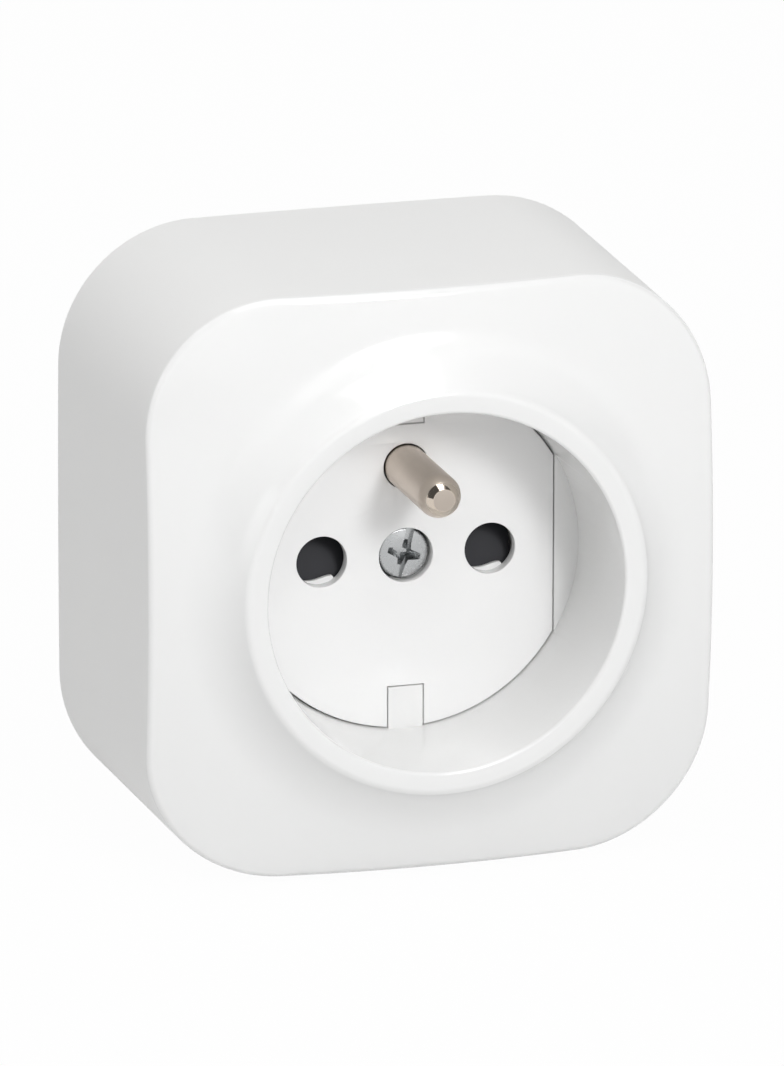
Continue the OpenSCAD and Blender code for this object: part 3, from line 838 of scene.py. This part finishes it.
@dataclass
class Insert:
    """The insert on the floor of the well, with the shutter's cage behind its face."""

    cover: Cover
    thickness: float = 1.4
    edge: float = 0.08
    hole: float = 2.85
    pitch: float = 19.0
    earth_y: float = 10.0
    earth_hole: float = 2.53
    recess: float = 3.05
    lip_y: float = 2.45
    lip_rim: float = 0.5
    lip: float = 0.4
    nub_x: float = 1.5
    nub: float = 0.45
    nub_slope: float = 2.4
    cage_z: float = 18.1
    skirt_gap: float = 0.4
    skirt_wall: float = 0.9
    boss: float = 3.9
    boss_foot: float = 17.7
    boss_floor: float = 2.0
    shank_hole: float = 1.95
    overlap: float = 0.01
    arc_steps: int = 24
    lip_steps: int = 32
    nub_steps: int = 28

    def outline(self) -> list[Point2]:
        """Returns the plan of the face, with its flats and notches."""
        radius = self.cover.insert_radius
        flat = radius - self.cover.flat_depth
        half = self.cover.key_width / 2 + self.cover.gap
        tip = radius - self.cover.key_length
        flat_turn = math.degrees(math.acos(flat / radius))
        key_turn = math.degrees(math.asin(half / radius))
        right = steps(flat_turn, 90 - key_turn, self.arc_steps)
        left = steps(90 + key_turn, 180 - flat_turn, self.arc_steps)
        upper = [polar(radius, a) for a in right]
        upper += [(half, tip), (-half, tip)]
        upper += [polar(radius, a) for a in left]
        return upper + [(-x, -y) for x, y in upper]

    def lip_outline(self, x: float) -> list[Point2]:
        """Returns the lip at the foot of a contact hole centred at x.

        Its edge rises gently to the nub near its right end.
        """
        reach = self.hole + self.lip_rim
        turn = math.degrees(math.asin(self.lip_y / reach))
        outer = [polar(reach, a) for a in steps(180 + turn, 360 - turn, self.lip_steps)]
        top = []
        right, left = self.nub_x + self.nub, self.nub_x - self.nub_slope
        for px in steps(right, left, self.nub_steps):
            reach = self.nub if px > self.nub_x else self.nub_slope
            share = abs(px - self.nub_x) / reach
            rise = self.nub * (1 + math.cos(math.pi * share)) / 2
            top.append((px, rise - self.lip_y))
        return [(x + px, py) for px, py in outer + top]

    def build(self) -> None:
        """Builds and dresses the insert."""
        seat = self.cover.face_z - self.thickness
        back = seat + self.overlap
        floor = self.boss_foot + self.boss_floor
        skirt = self.cover.well - self.cover.ledge_width - self.skirt_gap
        holes = [circle_outline(self.hole, (side * self.pitch / 2, 0.0)) for side in (-1, 1)]
        holes.append(circle_outline(self.recess))
        holes.append(circle_outline(self.earth_hole, (0.0, self.earth_y)))
        face = Builder.plate("face", [self.outline(), *holes], seat, self.cover.face_z,
                             self.edge)
        parts = [face]
        for side in (-1, 1):
            outline = self.lip_outline(side * self.pitch / 2)
            parts.append(Builder.plate("lip", [outline], seat - self.lip, back))
        boss = circle_outline(self.boss)
        outside = circle_outline(skirt, sides=ROUND_SIDES)
        inside = circle_outline(skirt - self.skirt_wall, sides=ROUND_SIDES)
        tubes = (
            ("boss", boss, circle_outline(self.recess), floor, back),
            ("boss_foot", boss, circle_outline(self.shank_hole), self.boss_foot, floor),
            ("skirt", outside, inside, self.cage_z, back),
        )
        for name, outer, inner, low, high in tubes:
            parts.append(Builder.plate(name, [outer, inner], low, high))
        piece = Builder.join("insert_moulding", parts)
        Finish.INSERT_WHITE.dress(piece)
        settle(piece, "insert")


@dataclass
class EarthPin:
    """The nickel-plated earth pin with its rounded shoulder, short cone and flat end.

    Each row of tip_edge steps outward and up from the rim of the flat end.
    """

    y: float = 10.0
    radius: float = 2.4
    root: float = 2.0
    root_z: float = 24.7
    root_edge: float = 0.05
    top: float = 38.7
    shoulder_start: float = 2.1
    shoulder_steps: int = 10
    cone_length: float = 0.55
    cone_radius: float = 1.85
    tip_radius: float = 1.25
    tip_edge: tuple[Point2, ...] = ((0.03, -0.04), (0.0, -0.01), (-0.05, 0.0))
    end_margin: float = 0.001
    rivet: float = 1.5
    rivet_z: float = 7.0
    flange: float = 3.5
    flange_z: float = 8.85
    flange_thickness: float = 1.35

    def build(self) -> None:
        """Builds and dresses the pin: a satin body, a bright cone and a worn flat end."""
        low = self.top - self.shoulder_start
        cone_z = self.top - self.cone_length
        flange_top = self.flange_z + self.flange_thickness
        section = [
            (self.rivet, self.rivet_z), (self.rivet, self.flange_z),
            (self.flange, self.flange_z), (self.flange, flange_top),
            (self.root, flange_top), (self.root, self.root_z),
            (self.radius - self.root_edge, self.root_z),
            (self.radius, self.root_z + self.root_edge),
        ]
        for share in steps(0.0, 1.0, self.shoulder_steps):
            narrowing = (self.radius - self.cone_radius) * share ** 2
            section.append((self.radius - narrowing, low + (cone_z - low) * share))
        cone = len(section) - 1
        section += [(self.tip_radius + out, self.top + up) for out, up in self.tip_edge]
        satin, bright, worn = range(3)
        cone_end = cone + len(self.tip_edge)
        tags = [bright if cone <= j < cone_end else satin for j in range(len(section))]
        pin = Builder.lathe("earth_contact_pin", section, (0.0, self.y), tags)
        add_finishes(pin, Finish.NICKEL, Finish.BRIGHT_NICKEL, Finish.WORN_NICKEL)
        end_y = wall_point(0.0, self.y, self.top - self.end_margin).y
        for face in pin.data.polygons:
            if face.center.y < end_y:
                face.material_index = worn
        settle(pin, "earth_pin")


@dataclass
class CoverScrew:
    """The zinc-plated central screw with a slot and a cross recess.

    The cross has its full size at the top of the head, cross_foot times it at its foot, and
    cross_flare times it where the cutter ends above the head.
    """

    radius: float = 2.8
    top: float = 23.85
    thickness: float = 2.0
    edge: float = 0.25
    edge_steps: int = 6
    under_edge: float = 0.1
    rise: float = 0.25
    rise_steps: int = 5
    rise_reach: float = 0.98
    shank: float = 1.65
    shank_edge: Point2 = (0.3, 0.4)
    foot: float = 8.1
    slot_width: float = 0.92
    slot_depth: float = 0.5
    cross_reach: float = 1.95
    cross_width: float = 1.5
    cross_end: float = 0.62
    cross_foot: float = 0.4
    cross_flare: float = 1.15
    cross_depth: float = 1.5
    slot_turn: float = 74.0
    clear: float = 1.0

    def wing(self, turn: float) -> bpy.types.Object:
        """Makes two opposite wings of the cross, tapering outward and down, as a cutter."""
        rings = []
        for share, z in ((self.cross_foot, self.top - self.cross_depth),
                         (1.0, self.top + self.rise),
                         (self.cross_flare, self.top + 2 * self.rise)):
            reach, end = self.cross_reach * share, self.cross_end * share / 2
            mid = self.cross_width * share / 2
            corners = ((reach, end), (0.0, mid), (-reach, end),
                       (-reach, -end), (0.0, -mid), (reach, -end))
            rings.append([(*self.turned(corner, turn), z) for corner in corners])
        return Builder.rings("wing", rings)

    @staticmethod
    def turned(point: Point2, degrees: float) -> Point2:
        """Returns a point turned about the screw's axis."""
        c, s = polar(1.0, degrees)
        return point[0] * c - point[1] * s, point[0] * s + point[1] * c

    def build(self) -> None:
        """Builds and dresses the screw."""
        under = self.top - self.thickness
        edge_r, edge_z = self.radius - self.edge, self.top - self.edge
        point_in, point_up = self.shank_edge
        section = [
            (self.shank - point_in, self.foot), (self.shank, self.foot + point_up),
            (self.shank, under), (self.radius - self.under_edge, under),
            (self.radius, under + self.under_edge), (self.radius, edge_z),
        ]
        for a in steps(0.0, 90.0, self.edge_steps)[1:]:
            x, z = polar(1.0, a)
            section.append((edge_r + self.edge * x, edge_z + self.edge * z))
        for share in steps(0.0, 1.0, self.rise_steps)[1:]:
            radius = edge_r * (1 - share * self.rise_reach)
            section.append((radius, self.top + self.rise * (1 - (radius / self.radius) ** 2)))
        screw = Builder.lathe("central_screw", section)
        half, reach = self.slot_width / 2, self.radius + self.clear
        corners = box_outline(-reach, reach, -half, half)
        slot = Builder.plate("slot", [[self.turned(c, self.slot_turn) for c in corners]],
                             self.top - self.slot_depth, self.top + self.clear)
        Builder.combine(screw, slot, "DIFFERENCE")
        for turn in (0.0, 90.0):
            Builder.combine(screw, self.wing(self.slot_turn + turn), "DIFFERENCE")
        Builder.tidy(screw)
        Finish.ZINC.dress(screw)
        settle(screw, "cover_screw")


@dataclass
class Spring:
    """The shutter's return spring, a coil of round wire.

    The wire's middle runs from low to high. closed, the share of its length meant to stay at the
    end of the slide, is not used.
    """

    wire: float = 0.4
    diameter: float = 3.6
    turns: int = 4
    low: float = -13.4
    high: float = -6.3
    closed: float = 0.26
    turn_steps: int = 28
    sides: int = 12

    def build(self) -> None:
        """Builds and dresses the spring, round the middle of its solid."""
        nearest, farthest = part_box("shutter_spring")
        z = -(nearest.y + farthest.y) / 2 / MM
        coil = (self.diameter - self.wire) / 2
        count = self.turns * self.turn_steps
        rings = []
        for i, y in enumerate(steps(self.low, self.high, count)):
            ring = []
            for k in range(self.sides):
                out, up = polar(self.wire / 2, 360.0 * k / self.sides)
                px, pz = polar(coil + out, 360.0 * i / self.turn_steps)
                ring.append((px, y + up, z + pz))
            rings.append(ring)
        spring = Builder.rings("return_spring", rings)
        Finish.STEEL.dress(spring)
        settle(spring, "shutter_spring")
        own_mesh(spring)


@dataclass
class Works:
    """The pieces behind the insert, which keep their solids and get their finishes."""

    finishes: dict[str, Finish] = field(default_factory=lambda: {
        "shutter": Finish.SHUTTER_BLACK,
        "shutter_retainer": Finish.BASE_WHITE,
        "base": Finish.BASE_WHITE,
        "contact_carrier": Finish.BASE_WHITE,
        "line_contact": Finish.BRASS,
        "neutral_contact": Finish.BRASS,
        "line_jaw_clip": Finish.STEEL,
        "neutral_jaw_clip": Finish.STEEL,
        "earth_strap": Finish.BRASS,
        "line_terminal": Finish.BRASS,
        "neutral_terminal": Finish.BRASS,
        "earth_terminal": Finish.BRASS,
        "line_terminal_screw": Finish.ZINC,
        "neutral_terminal_screw": Finish.ZINC,
        "earth_terminal_screw": Finish.ZINC,
        "cover_nut": Finish.BRASS,
        "carrier_screw_left": Finish.ZINC,
        "carrier_screw_right": Finish.ZINC,
    })

    def build(self, nodes: dict[str, bpy.types.Object]) -> None:
        """Dresses the solids that stay.

        Args:
            nodes: The frame's solids by name.
        """
        for name, finish in self.finishes.items():
            finish.dress(nodes[name])
            log.info("%s: %s", name, finish.name.lower())


@dataclass(frozen=True)
class SoftBox:
    """A rectangular studio lamp that faces the socket from a metre away.

    The azimuth turns from straight in front of the socket towards its right, the elevation
    up from there. The brightness is that of the lamp's face, where 1 is paper white.
    """

    name: str
    azimuth: float
    elevation: float
    brightness: float
    width: float = 0.5
    height: float = 0.5
    distance: float = 1.0

    def light(self, target: Vector) -> None:
        """Makes the lamp.

        Args:
            target: The point that it faces, in metres.
        """
        lamp = bpy.data.lights.new(self.name, "AREA")
        lamp.shape = "RECTANGLE"
        lamp.size = self.width
        lamp.size_y = self.height
        lamp.energy = self.brightness * math.pi * self.width * self.height
        across, out = polar(self.distance, self.elevation)
        side, front = polar(across, self.azimuth - 90.0)
        made = linked(self.name, lamp)
        made.location = target + Vector((side, front, out))
        made.rotation_mode = "QUATERNION"
        made.rotation_quaternion = (target - made.location).to_track_quat("-Z", "Y")


@dataclass(frozen=True)
class DarkPatch:
    """A dark stretch of the room that gloss and metal reflect.

    The level falls from 1 to its own between two angles from the middle. The angles are
    given as cosines.
    """

    middle: Point3
    start: float
    full: float
    level: float = 0.1

    def shade(self, sheet: NodeSheet, way: Value) -> Value:
        """Returns the level of the room in a direction.

        Args:
            sheet: The node sheet.
            way: The direction looked at.

        Returns:
            The level, from 1 down to the patch's own.
        """
        toward = sheet.node("ShaderNodeVectorMath", {"operation": "DOT_PRODUCT"},
                            {0: way, 1: self.middle}, "Value")
        stops = [(0.0, 1.0), (self.start, 1.0), (self.full, self.level)]
        return sheet.node("ShaderNodeValToRGB", {"stops": stops}, {"Fac": toward})


@dataclass
class Studio:
    """Pale floor, white surroundings, soft lamps and the photograph's camera."""

    floor_z: float = -0.0329
    floor_half: float = 6.0
    floor_matte: float = 0.75
    floor_white: float = 0.975
    surround: float = 0.215
    dark_left: DarkPatch = DarkPatch((-0.85, -0.45, 0.25), 0.45, 0.62)
    dark_right: DarkPatch = DarkPatch((0.8, -0.15, 0.58), 0.8, 0.9)
    lamps: tuple[SoftBox, ...] = (
        SoftBox("key", 11.0, 24.4, 24.0, 0.2, 0.22),
        SoftBox("front_top", 0.0, 32.0, 1.0),
        SoftBox("high", 0.0, 62.0, 2.9),
        SoftBox("top", 0.0, 88.0, 2.5),
        SoftBox("front_left", -15.0, 20.0, 0.7),
        SoftBox("left", -90.0, 15.0, 1.45),
        SoftBox("far_left", -110.0, 30.0, 0.95),
        SoftBox("high_left", -100.0, 60.0, 0.5),
    )
    aim: Point3 = (0.0, 0.0, 25.0)
    focal: float = 512.3
    sensor: float = 36.0
    clip: Point2 = (0.05, 50.0)
    camera_place: Point3 = (-0.460702, -1.529431, 0.461484)
    camera_right: Point3 = (0.95666, -0.29120, 0.00228)
    camera_up: Point3 = (0.07944, 0.26851, 0.95999)
    camera_back: Point3 = (-0.28016, -0.91821, 0.28000)

    @staticmethod
    def set_view() -> None:
        """Keeps colours as they are written."""
        bpy.context.scene.view_settings.view_transform = "Standard"

    def set_camera(self) -> None:
        """Makes the camera of the photograph."""
        data = bpy.data.cameras.new("camera")
        data.lens = self.focal
        data.sensor_width = self.sensor
        data.clip_start, data.clip_end = self.clip
        camera = linked("camera", data)
        turn = Matrix((self.camera_right, self.camera_up, self.camera_back)).transposed()
        camera.matrix_world = Matrix.Translation(self.camera_place) @ turn.to_4x4()
        bpy.context.scene.camera = camera

    @staticmethod
    def ray(sheet: NodeSheet, *kinds: str) -> Value:
        """Returns 1 for rays of the given kinds.

        Args:
            sheet: The node sheet.
            kinds: Outputs of the Light Path node.

        Returns:
            The sum of the outputs, at most 1.
        """
        total: Value | None = None
        for kind in kinds:
            part = sheet.node("ShaderNodeLightPath", {}, {}, kind)
            total = part if total is None else total + part
        return total.clamp()

    def set_world(self) -> None:
        """Makes the surroundings: white where seen, softer as a light.

        In gloss and metal they are white too, with a dark stretch of the room to the left
        and another one to the upper right.
        """
        world = bpy.data.worlds.new("surround")
        bpy.context.scene.world = world
        sheet = NodeSheet(world)
        way = sheet.node("ShaderNodeTexCoord", {}, {}, "Generated")
        room = self.dark_left.shade(sheet, way) * self.dark_right.shade(sheet, way)
        camera = self.ray(sheet, "Is Camera Ray", "Is Transmission Ray")
        gloss = self.ray(sheet, "Is Glossy Ray")
        strength = camera + (1 - camera) * (gloss * room + (1 - gloss) * self.surround)
        light = sheet.node("ShaderNodeBackground", {},
                           {"Color": rgba(WHITE), "Strength": strength})
        sheet.node("ShaderNodeOutputWorld", {}, {"Surface": light})

    def set_floor(self) -> None:
        """Makes the pale floor, which keeps a trace of the socket's soft shadow."""
        half = self.floor_half
        mesh = bpy.data.meshes.new("floor")
        corners = [(-half, -half, self.floor_z), (half, -half, self.floor_z),
                   (half, half, self.floor_z), (-half, half, self.floor_z)]
        mesh.from_pydata(corners, [], [(0, 1, 2, 3)])
        floor = linked("floor", mesh)
        made = bpy.data.materials.new("floor_pale")
        sheet = NodeSheet(made)
        matte = sheet.node("ShaderNodeBsdfDiffuse", {}, {"Color": rgba(WHITE, self.floor_matte)})
        white = sheet.node("ShaderNodeEmission", {}, {"Color": rgba(WHITE)})
        seen = self.ray(sheet, "Is Camera Ray", "Is Glossy Ray", "Is Transmission Ray")
        factor = self.floor_white * seen
        mixed = sheet.node("ShaderNodeMixShader", {}, {0: factor, 1: matte, 2: white})
        sheet.node("ShaderNodeOutputMaterial", {}, {"Surface": mixed})
        mesh.materials.append(made)

    def build(self) -> None:
        """Builds the studio."""
        self.set_view()
        self.set_camera()
        self.set_world()
        self.set_floor()
        target = wall_point(*self.aim)
        for lamp in self.lamps:
            lamp.light(target)


def main() -> None:
    """Builds the socket outlet in its studio."""
    logging.basicConfig(level=logging.INFO, format="%(name)s: %(message)s")
    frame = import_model()
    Studio().build()
    cover = Cover()
    cover.build()
    Insert(cover).build()
    EarthPin().build()
    CoverScrew().build()
    Spring().build()
    Works().build(frame["nodes"])


if __name__ == "__main__":
    main()
